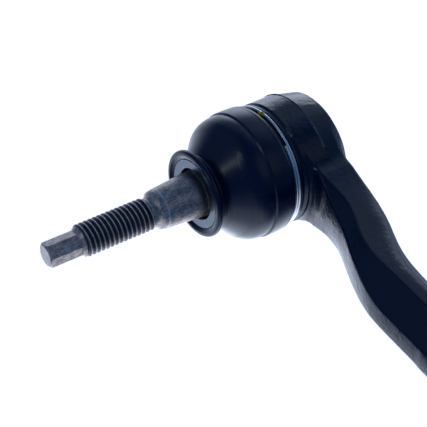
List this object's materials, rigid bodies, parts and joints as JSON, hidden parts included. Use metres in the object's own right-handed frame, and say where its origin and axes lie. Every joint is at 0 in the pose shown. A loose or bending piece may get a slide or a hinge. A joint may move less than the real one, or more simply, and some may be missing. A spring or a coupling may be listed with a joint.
{
  "type": "tie rod end",
  "caption": "Outer steering tie rod end: forged housing with a cranked arm and female thread, tapered ball stud with threaded end and hexagon tip, and rubber dust boot with rings.",
  "frame": {"origin": "centre of the ball, the point the stud swivels about", "axes": "+Z along the stud towards its hexagon tip, +X along the arm towards its threaded end, +Y = Z x X across the arm"},
  "size_m": [0.1735, 0.047, 0.1106],
  "materials": {
    "coated_forging": "black dip coat over a forged skin, semi-gloss",
    "stud_steel": "grey phosphated, turned",
    "bearing_plastic": "natural acetal",
    "spring_steel": "blued spring steel",
    "cover_steel": "pressed steel under the same dip coat",
    "boot_rubber": "satin moulded rubber",
    "ring_wire": "bright spring wire",
    "neck_wire": "black oxide spring wire",
    "insert_steel": "zinc plated, satin"
  },
  "bodies": {
    "housing": {"housing": "coated_forging", "upper_bearing_shell": "bearing_plastic", "lower_bearing_shell": "bearing_plastic", "preload_disc_spring": "spring_steel", "cover_plate": "cover_steel", "boot_base_ring": "ring_wire"},
    "boot": {"dust_boot": "boot_rubber"},
    "boot_neck": {"boot_neck_insert": "insert_steel", "boot_neck_ring": "neck_wire"},
    "stud": {"ball_stud": "stud_steel"}
  },
  "joints": [
    {"name": "swing_lengthwise", "type": "hinge", "parent": "housing", "child": "boot", "pos_m": [0, 0, 0], "axis": [0, 1, 0], "range_deg": [-20, 20], "deforming": ["dust_boot"]},
    {"name": "swing_sideways", "type": "hinge", "parent": "boot", "child": "boot_neck", "pos_m": [0, 0, 0], "axis": [1, 0, 0], "range_deg": [-20, 20], "deforming": ["dust_boot"]},
    {"name": "stud_spin", "type": "hinge", "parent": "boot_neck", "child": "stud", "pos_m": [0, 0, 0], "axis": [0, 0, 1], "continuous": true}
  ]
}
